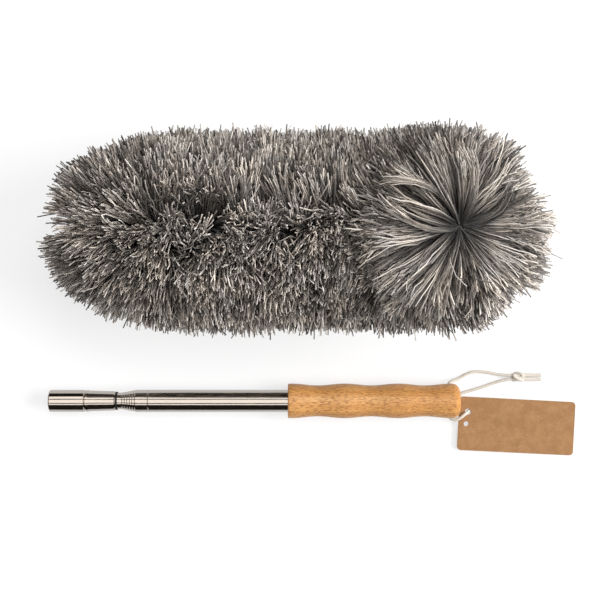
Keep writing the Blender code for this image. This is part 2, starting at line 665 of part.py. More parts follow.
def make_tag(card, cutter_finish):
    """The kraft tag: a thin card with rounded corners and two holes, one edge lifted by the cord."""
    bm = bmesh.new()
    corners = []
    for cx, cy, first in ((TAG_LENGTH - TAG_CORNER, -TAG_CORNER, 0), (TAG_CORNER, -TAG_CORNER, 1),
                          (TAG_CORNER, TAG_CORNER - TAG_WIDTH, 2),
                          (TAG_LENGTH - TAG_CORNER, TAG_CORNER - TAG_WIDTH, 3)):
        for k in range(TAG_CORNER_STEPS + 1):
            turn = math.pi / 2 * (first + k / TAG_CORNER_STEPS)
            corners.append((cx + TAG_CORNER * math.cos(turn), cy + TAG_CORNER * math.sin(turn), 0))
    face = bm.faces.new([bm.verts.new(corner) for corner in corners])
    risen = bmesh.ops.extrude_face_region(bm, geom=[face])["geom"]
    bmesh.ops.translate(bm, vec=(0, 0, TAG_THICKNESS),
                        verts=[part for part in risen if isinstance(part, bmesh.types.BMVert)])
    tag = add_object("tag", finish_mesh("tag", bm), card,
                     (*TAG_TOP_LEFT, TAG_LEFT_HEIGHT), smooth=False)
    tilt = math.asin(TAG_LEFT_HEIGHT / TAG_LENGTH)
    tag.rotation_euler = (0, tilt, math.radians(TAG_TURN_DEGREES))

    for name, (along, down), radius in (("tag_cord_cutter", TAG_CORD_HOLE, TAG_CORD_HOLE_RADIUS),
                                        ("tag_spare_cutter", TAG_SPARE_HOLE, TAG_SPARE_HOLE_RADIUS)):
        outline = [(-CUT_OVERRUN, 0), (-CUT_OVERRUN, radius), (CUT_OVERRUN, radius), (CUT_OVERRUN, 0)]
        cutter = add_object(name, turned_mesh(name, outline, HOLE_SIDES), cutter_finish,
                            (along, -down, TAG_THICKNESS / 2))
        cutter.rotation_euler = (0, math.pi / 2, 0)
        cutter.parent = tag
        cut_hole(tag, cutter)


def main():
    for piece in list(bpy.data.objects):
        bpy.data.objects.remove(piece)
    bamboo = material("bamboo", (0.62, 0.36, 0.16), 0.45)
    steel = material("polished_steel", (0.62, 0.60, 0.59), 0.18, 1.0)
    brass = material("brass", (0.70, 0.50, 0.22), 0.35, 1.0)
    spring = material("spring_steel", (0.45, 0.45, 0.46), 0.35, 1.0)
    nylon = material("nylon", (0.12, 0.12, 0.13), 0.5)
    rubber = material("rubber", (0.03, 0.03, 0.03), 0.7)
    foam = material("foam", (0.28, 0.28, 0.29), 0.9)
    pile = material("pile", (0.30, 0.28, 0.27), 0.9)
    cotton = material("cotton_cord", (0.76, 0.70, 0.62), 0.9)
    card = material("kraft_card", (0.55, 0.36, 0.22), 0.8)

    make_grip(bamboo, nylon)
    make_pole(steel, brass, nylon)
    make_tip(steel, rubber)
    make_head(pile, foam, nylon, spring)
    make_cord(cotton)
    make_tag(card, nylon)


main()
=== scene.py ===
"""Looks of the telescopic duster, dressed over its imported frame.

The pole lies along X with its tip at -X, and the loose head lies behind it at +Y. Lengths are in metres.
"""

import math

import bmesh
import bpy
import numpy as np
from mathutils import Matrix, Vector


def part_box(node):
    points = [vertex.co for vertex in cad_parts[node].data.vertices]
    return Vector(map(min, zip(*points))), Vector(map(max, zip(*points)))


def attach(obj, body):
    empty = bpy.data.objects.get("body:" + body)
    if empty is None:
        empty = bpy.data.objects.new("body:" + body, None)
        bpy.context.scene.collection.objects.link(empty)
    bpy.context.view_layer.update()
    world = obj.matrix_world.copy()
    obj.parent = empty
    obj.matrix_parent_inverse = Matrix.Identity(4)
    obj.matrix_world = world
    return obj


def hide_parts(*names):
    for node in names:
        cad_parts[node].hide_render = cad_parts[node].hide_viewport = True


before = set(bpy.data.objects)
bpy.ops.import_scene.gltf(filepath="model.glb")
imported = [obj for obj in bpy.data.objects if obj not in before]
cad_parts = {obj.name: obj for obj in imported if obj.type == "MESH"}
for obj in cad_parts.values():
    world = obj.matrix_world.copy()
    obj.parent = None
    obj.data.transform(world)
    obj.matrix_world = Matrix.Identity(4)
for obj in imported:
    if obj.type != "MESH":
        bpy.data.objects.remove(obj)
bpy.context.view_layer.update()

MILLIMETRE = 0.001

# Colours and ramps: each ramp is a list of (place, colour)
BAMBOO_TONES = [(0.30, (0.43, 0.185, 0.050)), (0.50, (0.585, 0.280, 0.082)), (0.72, (0.70, 0.395, 0.145))]
BAMBOO_FLECK = (0.30, 0.115, 0.030)
PILE_TONES = [(0.24, (0.024, 0.021, 0.019)), (0.46, (0.160, 0.142, 0.128)),
              (0.66, (0.40, 0.362, 0.329)), (0.90, (0.78, 0.73, 0.675))]
PILE_WARMTH = (1.045, 1.0, 0.95)
# Painted shade: the threads darken towards their roots, deep in the pile
PILE_ROOT_SHADE = (0.016, 0.014, 0.013)
COTTON_TONES = [(0.3, (0.50, 0.45, 0.39)), (0.6, (0.64, 0.59, 0.52)), (0.8, (0.74, 0.70, 0.64))]
# Painted shade in the valleys between the cord's strands
COTTON_VALLEY_SHADE = (0.36, 0.30, 0.24)
CARD_TONES = [(0.32, (0.225, 0.110, 0.043)), (0.5, (0.290, 0.147, 0.061)), (0.68, (0.365, 0.205, 0.092))]
CARD_FIBRE = (0.50, 0.34, 0.20)
STEEL = (0.84, 0.775, 0.715)
BRASS = (0.70, 0.50, 0.22)
NYLON = (0.035, 0.034, 0.034)
RUBBER = (0.006, 0.006, 0.006)
FOAM = (0.16, 0.155, 0.15)

# Fine turned pieces
FINE_SIDES = 96
SMOOTH_ANGLE = math.radians(30.0)
ARC_STEPS = 5
MERGE_DISTANCE = 0.000002
BORE_CLEARANCE = 0.0003

# Grip, repeated from the part
GRIP_MEAN_RADIUS = 0.01275
GRIP_WAVE_HEIGHT = 0.0007
GRIP_WAVE_PITCH = 0.0417
GRIP_FIRST_CREST = 0.0024
GRIP_FRONT_ROUND = 0.001
GRIP_BUTT_ROUND = 0.0058
GRIP_BUTT_STEPS = 12
GRIP_RINGS = 160
GRIP_BORE_DEPTH = 0.043
CORD_HOLE_FROM_BUTT = 0.0085
CORD_HOLE_DROP = 0.008
CORD_HOLE_RADIUS = 0.0019
CORD_DRILL_REACH = 0.02
CORD_DRILL_SIDES = 32

# Pole, along each piece from its end at -X
TUBES = 7
TUBE_WALL = 0.00022
MOUTH_CONE_LENGTH = 0.0005
MOUTH_CRIMP = 0.0001
TUBE_END_ROUND = 0.0001
TIP_SLEEVE_ROUND = 0.0012
TIP_GROOVE_PLACE = 0.0282
TIP_GROOVE_HALF_WIDTH = 0.0008
TIP_GROOVE_DEPTH = 0.0008
TIP_LIP_LENGTH = 0.0022
TIP_CONE_SHARE = 0.3
TIP_LIP_RADIUS = 0.0084
TIP_NECK_RADIUS = 0.00805
TIP_SKIRT_RADIUS = 0.0074
TIP_SOCKET_RADIUS = 0.0070
TIP_SOCKET_DEPTH = 0.021
TIP_HEM_LENGTH = 0.0006
TIP_HEM_RISE = 0.0001
TIP_HEM_TUCK = 0.0003
END_CAP_ROUND = 0.0006
END_CAP_FLAT_INSET = 0.0009
BUFFER_ROUND = 0.0004

# Head: its core is repeated from the part, and the pile's leans and combs are close to the part's
BACKING_LENGTH = 0.258
BACKING_RADIUS = 0.0125
SOCKET_MOUTH = -0.020
BEND_START = 0.157
BEND_RADIUS = 0.100
BEND_ANGLE = math.radians(58.0)
PILE_LENGTH = 0.0590
PILE_DROOP = 0.006

# Lean out of square: a fan at each end, eased round the core at the right, and a comb to the left
LEFT_FAN = math.radians(62.0)
LEFT_FAN_SHARE = 0.14
LEFT_FAN_POWER = 1.5
LEFT_SHORTENING_SHARE = 0.17
RIGHT_FAN = math.radians(38.0)
RIGHT_FAN_SHARE = 0.30
BACK_EASING_SHARE = 0.78
FRONT_EASING_SHARE = 0.20
TOP_EASING_SHARE = 1.30
LEFT_COMB = math.radians(30.0)
LEFT_COMB_SHARE = 0.80
LEFT_COMB_SPREAD_SHARE = 0.14
LEFT_COMB_TURN = math.radians(20.0)

# Fall round the core, in degrees from +Y up: a parting on top, and a comb to the front near the free end
PARTING_PLACE = 80.0
PARTING_BACK = 30.0
PARTING_FRONT = 8.0
PARTING_FADE = 50.0
PARTING_LOWEST = -30.0
PARTING_START_SHARE = 0.08
PARTING_FULL_SHARE = 0.25
FRONT_COMB = 12.0
FRONT_COMB_PLACE = -60.0
FRONT_COMB_SPREAD = 45.0
FRONT_COMB_START_SHARE = 0.7

# Smooth unevenness of the pile, as a sum of sines
WANDER_WAVES = 7
WANDER_LENGTHWISE = (30, 230)
WANDER_ROUNDS = (-9, 10)
LEAN_WANDER = math.radians(11.0)
SWING_WANDER = 0.22
COMB_MEAN_SHARE = 0.8
COMB_WANDER_SHARE = 0.3
REACH_WANDER_SHARE = 0.03

# Clumps of threads on the backing
GOLDEN_TURN = math.pi * (3 - math.sqrt(5))
CLUMPS = 2500
THREADS_PER_CLUMP = 13
CLUMP_ROOT_RADIUS = 0.0015
CLUMP_TIP_RADIUS = 0.0025
CLUMP_WIDENING_POWER = 0.8
CLUMP_TURN_SPREAD = 0.05
CLUMP_LEAN_SPREAD = math.radians(5.0)
CLUMP_SWING_SPREAD = 0.08
CLUMP_LEAST_LOOSE_SHARE = 0.25
CLUMP_REACH_SPREAD_SHARE = 0.025
CLUMP_TONE_SPREAD = 0.14

# Clumps of the crown, which start on the cap of the free end and lie over its rim
CROWN_CLUMPS = 190
CROWN_START_RADIUS = 0.0002
CROWN_LIFT = 0.0062
CROWN_LEAN = math.radians(44.0)
CROWN_CURL = math.radians(40.0)
CROWN_RIM_CROSSING = 0.12
CROWN_CROSSING = 0.35
CROWN_LEAST_REACH_SHARE = 0.72
CROWN_SWEEP_LEAST_SHARE = 0.3
CROWN_SWEEP_SHARE = 0.50
CROWN_SWEEP_CURL = math.radians(72.0)

# Single threads
THREAD_RADIUS = 0.00058
THREAD_RADIUS_SHARES = (0.78, 1.22)
THREAD_TAPER_SHARES = (1.05, 0.85)
THREAD_STATIONS = 9
THREAD_SIDES = 3
THREAD_SQUARE_TO = (0.31, 0.93, 0.17)
THREAD_KINK = 0.0006
THREAD_LEAN_SPREAD = math.radians(3.0)
THREAD_BOW_SPREAD = math.radians(10.0)
THREAD_SWING_SPREAD = 0.05
THREAD_SWING_POWER = 1.4
THREAD_REACH_SPREAD_SHARE = 0.03
THREAD_TURN_RADIUS = 0.004
THREAD_TONE = 0.50
THREAD_TONE_SPREAD = 0.19
THREAD_TONE_LIMITS = (0.01, 0.99)
THREAD_ALONG = (0.02, 0.98)
THREAD_LYING_HEIGHT = 0.0012
STRAY_SHARE = 0.03
STRAY_LOOSENESS = 3.0
STRAY_REACH_SHARE = 1.04
PILE_PIECES = 9
PILE_SLICES = 7
PILE_SEED = 7

# Hang cord, its routes repeated from the part in millimetres
CORD_RADIUS = 0.00125
CORD_RING_PITCH = 0.0004
CORD_SIDES = 18
CORD_LAY_PITCH = 0.0052
CORD_STRANDS = 3
CORD_ROUTE_STEPS = 24
CORD_END_OVERLAP = 0.0045
CORD_END_RINGS = 48
VALLEY_SHARE = 0.10
STRAND_ROUND_POWER = 0.6
KNOT_RINGS = 140
KNOT_STRAND_SHARE = 1.12
KNOT_WAVE = 0.0009
KNOT_HALF_LENGTH = 0.0036
KNOT_SPREAD_SHARE = 1.15
KNOT_LOBES = 3
KNOT_ROUNDS = 2
UPPER_ROUTE = [(125.5, -96.4, 5.45), (125.5, -91.0, 5.45), (125.6, -86.6, 5.4), (127.3, -83.0, 4.6),
               (131.2, -81.2, 3.1), (135.2, -79.7, 1.9), (140.0, -77.0, 1.6), (146.5, -74.6, 1.6),
               (156.0, -74.9, 1.7), (164.6, -76.4, 2.2), (171.9, -77.2, 3.6), (176.6, -77.2, 4.0)]
LOWER_ROUTE = [(125.5, -96.7, 5.45), (125.5, -102.5, 5.45), (125.7, -107.3, 5.5), (128.0, -110.9, 6.0),
               (131.8, -112.0, 6.8), (135.6, -110.4, 7.2), (138.6, -108.0, 6.8), (140.5, -106.7, 5.5),
               (142.0, -105.8, 3.8), (143.6, -105.0, 2.2), (146.4, -105.0, 1.45), (150.6, -107.8, 1.35),
               (155.0, -110.0, 1.38), (159.6, -109.6, 1.45), (162.0, -106.2, 1.4),
               (160.8, -102.6, 1.35), (157.0, -101.1, 1.4), (150.0, -101.4, 1.5),
               (143.0, -101.0, 1.45), (138.2, -101.1, 1.38), (134.4, -98.9, 1.35),
               (133.6, -95.2, 1.35), (136.0, -92.0, 1.35), (140.0, -90.6, 1.45), (145.0, -89.2, 1.6),
               (152.5, -86.9, 1.7), (161.0, -83.9, 2.0), (170.6, -80.9, 3.4), (176.6, -79.9, 4.0)]

# Stage: the camera looks straight down. A lamp has a place, a size, a power and whether the steel mirrors
# it, and a card has two opposite corners
CAMERA_PLACE = (0.0094, -0.01785, 0.950)
CAMERA_LENS = 72.0
CAMERA_CLIP_START = 0.05
TABLE_HALF = 3.0
TABLE_COLOUR = (0.95, 0.95, 0.95)
WHITE = (1.0, 1.0, 1.0)
WHITE_SHARE = 0.66
MIRRORED_TABLE = 0.60
WORLD_STRENGTH = 0.38
LAMPS = [("back_lamp", (0.7, 1.7, 3.2), 1.7, 50.0, True),
         ("top_lamp", (0.3, -0.35, 3.4), 1.5, 10.0, True),
         ("right_lamp", (2.5, 0.0, 1.9), 1.9, 128.0, False)]
DARK_CARD_COLOUR = (0.012, 0.010, 0.009)
DARK_CARDS = [("front_card", (-1.3, -0.60, 0.0), (1.2, -0.60, 0.64)),
              ("floor_card", (-1.3, -0.60, 0.0005), (1.2, -0.17, 0.0005)),
              ("back_card", (-1.3, 0.60, 0.0), (1.2, 0.60, 0.59)),
              ("left_card", (-1.30, -0.60, 0.0), (-1.30, 0.60, 1.00)),
              ("right_card", (0.75, -0.60, 0.0), (0.75, 0.60, 0.50)),
              ("front_strip", (-1.3, -0.75, 1.30), (1.2, -0.50, 1.30)),
              ("back_strip", (-1.3, 0.29, 1.30), (1.2, 0.53, 1.30))]
BRIGHT_CARD = ("bright_card", (-1.3, -1.20, 1.40), (1.2, 1.55, 1.40))
BRIGHT_CARD_COLOUR = (1.0, 0.95, 0.89)
BRIGHT_CARD_STRENGTH = 1.15


# Shader sums

class Wire:
    """A shader socket that takes part in sums, each of which adds its Math node."""

    def __init__(self, finish, socket):
        self.finish = finish
        self.socket = socket

    def math(self, operation, *others):
        return self.finish.node("ShaderNodeMath", {"operation": operation}, [self, *others])[0]

    def __add__(self, other):
        return self.math("ADD", other)

    def __sub__(self, other):
        return self.math("SUBTRACT", other)

    def __mul__(self, other):
        return self.math("MULTIPLY", other)


class Finish:
    """A material under construction, whose nodes all come from one method."""

    def __init__(self, name):
        self.material = bpy.data.materials.new(name)
        self.material.use_nodes = True
        self.tree = self.material.node_tree
        self.shader = self.tree.nodes["Principled BSDF"]

    def node(self, kind, settings=None, inputs=()):
        """Adds a node: its settings first, then the values or links of its sockets. Gives its outputs."""
        made = self.tree.nodes.new(kind)
        for name, value in (settings or {}).items():
            if name == "stops":
                while len(made.color_ramp.elements) < len(value):
                    made.color_ramp.elements.new(0.5)
                for element, (place, colour) in zip(made.color_ramp.elements, value):
                    element.position = place
                    element.color = (*colour, 1.0)
            else:
                setattr(made, name, value)
        pairs = inputs.items() if isinstance(inputs, dict) else enumerate(inputs)
        for name, value in pairs:
            self.feed(made.inputs[name], value)
        return [Wire(self, socket) for socket in made.outputs]

    def feed(self, socket, value):
        """Links a wire to a socket, or sets the socket's own value."""
        if isinstance(value, Wire):
            self.tree.links.new(value.socket, socket)
        elif socket.type == "RGBA":
            socket.default_value = (*value, 1.0)
        else:
            socket.default_value = value

    def surface(self, **values):
        """Feeds the shader's own sockets, named with _ for a blank."""
        for name, value in values.items():
            self.feed(self.shader.inputs[name.replace("_", " ")], value)

    def uv(self, name):
        """The two parts of a piece's own UV map."""
        return self.node("ShaderNodeSeparateXYZ", None, [self.node("ShaderNodeUVMap", {"uv_map": name})[0]])

    def noise(self, detail, roughness, scale=1.0, stretch=(1, 1, 1), turn=(0, 0, 0)):
        """Noise on object coordinates, which are turned and stretched first."""
        place = self.node("ShaderNodeTexCoord")[3]
        place = self.node("ShaderNodeMapping", None, {"Vector": place, "Scale": stretch, "Rotation": turn})[0]
        return self.node("ShaderNodeTexNoise", None, {"Vector": place, "Scale": scale, "Detail": detail,
                                                      "Roughness": roughness})[0]

    def ramp(self, value, stops):
        return self.node("ShaderNodeValToRGB", {"stops": stops}, [value])[0]

    def steps(self, value, low, high):
        """A smooth step from 0 at low to 1 at high."""
        return self.node("ShaderNodeMapRange", {"interpolation_type": "SMOOTHSTEP"},
                         {"Value": value, "From Min": low, "From Max": high})[0]

    def mix(self, share, first, second, blend="MIX"):
        """Mixes two colours."""
        return self.node("ShaderNodeMix", {"data_type": "RGBA", "blend_type": blend},
                         {0: share, 6: first, 7: second})[2]

    def glow(self, colour, strength):
        return self.node("ShaderNodeEmission", None, {"Color": colour, "Strength": strength})[0]

    def show(self, shader):
        """Makes a shader the material's surface."""
        self.feed(self.tree.nodes["Material Output"].inputs["Surface"], shader)

    def bump(self, height, strength, distance):
        self.surface(Normal=self.node("ShaderNodeBump", None,
                                      {"Height": height, "Strength": strength, "Distance": distance})[0])


def bamboo_finish():
    """Light bamboo: long strips of slightly different tone with short dark fibre flecks along the grain."""
    finish = Finish("bamboo_grain")
    strips = finish.noise(stretch=(6, 190, 190), detail=2.0, roughness=0.5)
    grain = finish.noise(stretch=(60, 1500, 1500), detail=4.0, roughness=0.6)
    flecks = finish.noise(stretch=(300, 1350, 1350), detail=1.0, roughness=0.4)
    cloud = finish.noise(stretch=(26, 60, 60), detail=2.0, roughness=0.5)
    tone = finish.ramp(strips * 0.55 + grain * 0.3 + cloud * 0.15, BAMBOO_TONES)
    dark = finish.steps(flecks, low=0.52, high=0.61)
    colour = finish.mix(dark * 0.75, tone, BAMBOO_FLECK)
    finish.surface(Base_Color=colour, Roughness=grain * 0.18 + 0.34, Coat_Weight=0.25, Coat_Roughness=0.35)
    finish.bump(grain * 0.4 - dark * 0.5, strength=0.35, distance=0.0002)
    return finish.material


def steel_finish(name, colour, roughness):
    """Polished tube: faint draw lines along the tube, and a little tarnish in clouds."""
    finish = Finish(name)
    lines = finish.noise(stretch=(30, 5200, 5200), detail=2.0, roughness=0.5)
    cloud = finish.noise(stretch=(70, 170, 170), detail=3.0, roughness=0.6)
    dull = tuple(part * 0.86 for part in colour)
    finish.surface(Base_Color=finish.mix(cloud, colour, dull), Metallic=1.0,
                   Roughness=lines * 0.06 + cloud * 0.05 + roughness)
    finish.bump(lines, strength=0.05, distance=0.00005)
    return finish.material


def plain_finish(name, colour, roughness, metallic=0.0, scale=900, depth=0.00008):
    """A moulded or cast surface: faint mottling in clouds, and a fine grain about the mean roughness."""
    finish = Finish(name)
    grain = finish.noise(scale=scale, detail=4.0, roughness=0.6)
    cloud = finish.noise(scale=scale / 12, detail=2.0, roughness=0.5)
    pale = tuple(min(1.0, part * 1.18 + 0.004) for part in colour)
    finish.surface(Base_Color=finish.mix(cloud, colour, pale), Metallic=metallic,
                   Roughness=grain * 0.15 + (roughness - 0.075))
    finish.bump(grain, strength=0.3, distance=depth)
    return finish.material


def pile_finish():
    """Microfibre threads: u holds each thread's tone, and v runs from its root, darkened with painted shade,
    to its tip.
    """
    finish = Finish("pile_threads")
    tone, along, _ = finish.uv("threads")
    fluff = finish.noise(scale=700, detail=2.0, roughness=0.6)
    colour = finish.ramp(tone * 0.8 + fluff * 0.35, PILE_TONES)
    cloud = finish.noise(scale=55, detail=2.0, roughness=0.5)
    colour = finish.mix(finish.steps(cloud, low=0.40, high=0.60), colour, PILE_WARMTH, "MULTIPLY")
    # Painted shade: darker towards the roots, where the pile shades the threads
    colour = finish.mix(finish.steps(along, low=0.10, high=0.66), PILE_ROOT_SHADE, colour)
    finish.surface(Base_Color=colour, Roughness=0.85, Sheen_Weight=0.15, Sheen_Roughness=0.5,
                   Specular_IOR_Level=0.2)
    return finish.material


def cord_finish():
    """Cotton cord: u is the depth below the strands' crests, which gives painted shade in the valleys between
    them.
    """
    finish = Finish("cotton_cord")
    valley, _, _ = finish.uv("lay")
    fibres = finish.noise(scale=2600, detail=3.0, roughness=0.6)
    cloud = finish.noise(scale=240, detail=2.0, roughness=0.5)
    colour = finish.ramp(fibres * 0.6 + cloud * 0.4, COTTON_TONES)
    # Painted shade: darker in the valleys between the strands
    colour = finish.mix(valley * 0.30, colour, COTTON_VALLEY_SHADE)
    finish.surface(Base_Color=colour, Roughness=0.9, Sheen_Weight=0.2)
    finish.bump(fibres, strength=0.35, distance=0.0002)
    return finish.material


def card_finish():
    """Kraft card: pulp clouds with pale and dark fibres."""
    finish = Finish("kraft_card")
    cloud = finish.noise(scale=130, detail=4.0, roughness=0.65)
    pulp = finish.noise(scale=1400, detail=3.0, roughness=0.6)
    fibres = finish.noise(stretch=(500, 2400, 2400), turn=(0, 0, 0.6), detail=2.0, roughness=0.5)
    tone = finish.ramp(cloud * 0.5 + pulp * 0.5, CARD_TONES)
    colour = finish.mix(finish.steps(fibres, low=0.62, high=0.74) * 0.35, tone, CARD_FIBRE)
    finish.surface(Base_Color=colour, Roughness=0.85)
    finish.bump(pulp, strength=0.25, distance=0.00012)
    return finish.material


# Meshes

def add_object(name, data):
    """A new object in the scene's collection."""
    made = bpy.data.objects.new(name, data)
    bpy.context.scene.collection.objects.link(made)
    return made


def add_piece(name, mesh, finish, body, slot, *nodes):
    """Adds a piece whose place is in its mesh, hangs it on the body it rides on and hides the nodes it stands
    for.
    """
    piece = add_object(name, mesh)
    mesh.materials.append(finish)
    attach(piece, body)
    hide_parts(*nodes)
    return piece


def seal(mesh):
    """Merges the points that coincide, turns all faces outwards and shades them smooth."""
    bm = bmesh.new()
    bm.from_mesh(mesh)
    bmesh.ops.remove_doubles(bm, verts=bm.verts, dist=MERGE_DISTANCE)
    bmesh.ops.recalc_face_normals(bm, faces=bm.faces)
    bm.to_mesh(mesh)
    bm.free()
    mesh.shade_smooth()


def grid_faces(rows, columns, closed_rows):
    """Four-cornered faces of a grid that is closed round its columns and, if asked, its rows."""
    row = np.arange(rows if closed_rows else rows - 1)[:, None]
    column = np.arange(columns)[None, :]
    after_row = (row + 1) % rows
    after_column = (column + 1) % columns
    return np.stack([row * columns + column, after_row * columns + column,
                     after_row * columns + after_column, row * columns + after_column], -1).reshape(-1, 4)


def turned(name, outline, centre, sides=FINE_SIDES):
    """A surface of revolution about X: each (x, radius) is carried round a circle about the centre.

    An outline with both ends on the axis gives a solid, and any other is closed into a ring.
    """
    outline = np.asarray(outline, float)
    turn = np.arange(sides) * math.tau / sides
    x = np.repeat(outline[:, :1], sides, axis=1)
    points = np.stack([x, outline[:, 1:] * np.cos(turn) + centre[1],
                       outline[:, 1:] * np.sin(turn) + centre[2]], axis=-1)
    faces = grid_faces(len(outline), sides, closed_rows=outline[0, 1] > 0)
    mesh = bpy.data.meshes.new(name)
    mesh.from_pydata(points.reshape(-1, 3).tolist(), [], faces.tolist())
    seal(mesh)
    mesh.set_sharp_from_angle(angle=SMOOTH_ANGLE)
    return mesh


def add_turned(name, node, outline, centre, finish, body, slot):
    """Adds a surface of revolution that stands for a node."""
    return add_piece(name, turned(name, outline, centre), finish, body, slot, node)


def arc(x, radius, size, start, end, steps=ARC_STEPS):
    """Points of a round in an outline, about (x, radius), from one angle to another in degrees."""
    turn = np.radians(np.linspace(start, end, steps + 1))
    return [(x + size * math.cos(t), radius + size * math.sin(t)) for t in turn]


def span(node):
    """Start and end along X, outer radius and centre of a round CAD node."""
    low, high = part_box(node)
    return low.x, high.x, (high.z - low.z) / 2, (low + high) / 2


# Grip and pole

def make_grip(finish):
    """The grip's outline is a cosine wave about its mean radius, with a rounded butt and a bored front.

    A drill across the butt cuts the hole for the cord.
    """
    start, end, _, centre = span("grip")
    bore = span("tube_1")[2] + BORE_CLEARANCE
    bore_end = start + GRIP_BORE_DEPTH
    along = np.linspace(GRIP_FRONT_ROUND, end - start - GRIP_BUTT_ROUND, GRIP_RINGS)

    def radius(place):
        return GRIP_MEAN_RADIUS + GRIP_WAVE_HEIGHT * np.cos(
            math.tau * (place - GRIP_FIRST_CREST) / GRIP_WAVE_PITCH)

    outline = [(bore_end, 0), (bore_end, bore), (start, bore)]
    front = radius(GRIP_FRONT_ROUND) - GRIP_FRONT_ROUND
    outline += arc(start + GRIP_FRONT_ROUND, front, GRIP_FRONT_ROUND, 180, 90)
    outline += list(zip(start + along[1:], radius(along[1:])))
    butt = end - GRIP_BUTT_ROUND
    outline += arc(butt, radius(butt - start) - GRIP_BUTT_ROUND, GRIP_BUTT_ROUND, 90, 0, GRIP_BUTT_STEPS)[1:]
    outline.append((end, 0))
    grip = add_turned("bamboo_grip", "grip", outline, centre, finish, "handle", "bamboo")

    drill = [(-CORD_DRILL_REACH, 0), (-CORD_DRILL_REACH, CORD_HOLE_RADIUS),
             (CORD_DRILL_REACH, CORD_HOLE_RADIUS), (CORD_DRILL_REACH, 0)]
    cutter = add_object("cord_drill", turned("cord_drill", drill, (0, 0, 0), CORD_DRILL_SIDES))
    cutter.location = (end - CORD_HOLE_FROM_BUTT, centre.y, centre.z - CORD_HOLE_DROP)
    cutter.rotation_euler = (0, 0, math.pi / 2)
    hole = grip.modifiers.new("hole", "BOOLEAN")
    hole.operation = "DIFFERENCE"
    hole.object = cutter
    bpy.context.view_layer.update()
    cut = bpy.data.meshes.new_from_object(grip.evaluated_get(bpy.context.evaluated_depsgraph_get()))
    grip.modifiers.clear()
    grip.data = cut
    bpy.data.objects.remove(cutter)


def tube_outline(start, end, radius):
    """A drawn tube whose mouth is crimped in to a short cone that ends just clear of the next tube."""
    inner = radius - TUBE_WALL
    shoulder = start + MOUTH_CONE_LENGTH
    return [(start, inner - MOUTH_CRIMP), (shoulder, radius), (end - TUBE_END_ROUND, radius),
            (end, radius - TUBE_END_ROUND), (end, inner), (shoulder, inner)]


def make_pole(steel):
    """Ferrule and tubes, each turned anew from the span of its CAD node."""
    bodies = {"mouth_ferrule": "handle", "tube_1": "handle"}
    bodies.update({f"tube_{k}": f"section_{k}" for k in range(2, TUBES + 1)})
    for node, body in bodies.items():
        start, end, radius, centre = span(node)
        add_turned(f"steel_{node}", node, tube_outline(start, end, radius), centre, steel, body,
                   "polished_steel")


def make_tip(steel, rubber):
    """Tip sleeve with its snap groove and tapered skirt, its end cap and the rubber buffer."""
    body = f"section_{TUBES}"
    start, end, radius, centre = span("tip_sleeve")
    groove = start + TIP_GROOVE_PLACE
    bore = span(f"tube_{TUBES}")[2] + BORE_CLEARANCE
    floor = start + TIP_SOCKET_DEPTH
    outline = [(start, TIP_SOCKET_RADIUS)]
    outline += arc(start + TIP_SLEEVE_ROUND, radius - TIP_SLEEVE_ROUND, TIP_SLEEVE_ROUND, 180, 90)
    outline += [(groove - TIP_GROOVE_HALF_WIDTH, radius), (groove, radius - TIP_GROOVE_DEPTH),
                (groove + TIP_GROOVE_HALF_WIDTH, TIP_LIP_RADIUS), (groove + TIP_LIP_LENGTH, TIP_LIP_RADIUS),
                (groove + TIP_LIP_LENGTH * (1 + TIP_CONE_SHARE), TIP_NECK_RADIUS),
                (end - TIP_HEM_LENGTH, TIP_SKIRT_RADIUS + TIP_HEM_RISE),
                (end, TIP_SKIRT_RADIUS - TIP_HEM_TUCK), (end, bore), (floor, bore),
                (floor, TIP_SOCKET_RADIUS)]
    add_turned("steel_tip_sleeve", "tip_sleeve", outline, centre, steel, body, "polished_steel")

    start, end, radius, centre = span("tip_end_cap")
    outline = [(start, 0), (start, radius - END_CAP_FLAT_INSET)]
    outline += arc(start + END_CAP_ROUND, radius - END_CAP_ROUND, END_CAP_ROUND, 180, 90)
    outline += [(end, radius), (end, 0)]
    add_turned("steel_tip_end_cap", "tip_end_cap", outline, centre, steel, body, "polished_steel")

    start, end, radius, centre = span("tip_buffer_ring")
    outline = [(start, bore)] + arc(start + BUFFER_ROUND, radius - BUFFER_ROUND, BUFFER_ROUND, 180, 90)
    outline += arc(end - BUFFER_ROUND, radius - BUFFER_ROUND, BUFFER_ROUND, 90, 0) + [(end, bore)]
    add_turned("rubber_buffer_ring", "tip_buffer_ring", outline, centre, rubber, body, "rubber")


# Head

def bend(points):
    """Bends straight head points (x along the core, y, z from its line) up about Y at the free end.

    The line follows an arc of BEND_RADIUS from BEND_START on, and a point keeps its distance from it.
    """
    x, y, z = points[..., 0], points[..., 1], points[..., 2]
    turn = np.clip((x - BEND_START) / BEND_RADIUS, 0, BEND_ANGLE)
    beyond = np.maximum(x - BEND_START - BEND_RADIUS * BEND_ANGLE, 0)
    along = np.minimum(x, BEND_START) + (BEND_RADIUS - z) * np.sin(turn) + beyond * np.cos(turn)
    height = BEND_RADIUS - (BEND_RADIUS - z) * np.cos(turn) + beyond * np.sin(turn)
    return np.stack([along, y, height], axis=-1)


def fan_angle(share, around):
    """How far a thread leans out of square at a share of the backing's length and a turn, in radians."""
    left = np.clip(1 - share / LEFT_FAN_SHARE, 0, 1) ** LEFT_FAN_POWER
    right = np.clip(1 - (1 - share) / RIGHT_FAN_SHARE, 0, 1)
    easing = BACK_EASING_SHARE * np.clip(np.cos(around), 0, 1)
    easing = easing + FRONT_EASING_SHARE * np.clip(-np.cos(around), 0, 1)
    easing = easing + TOP_EASING_SHARE * np.clip(np.sin(around), 0, 1)
    near = np.exp(-((share - LEFT_COMB_SHARE) / LEFT_COMB_SPREAD_SHARE) ** 2)
    comb = LEFT_COMB * near * np.clip(np.sin(around + LEFT_COMB_TURN), 0, 1)
    return -LEFT_FAN * left + RIGHT_FAN * right * (1 - easing) - comb


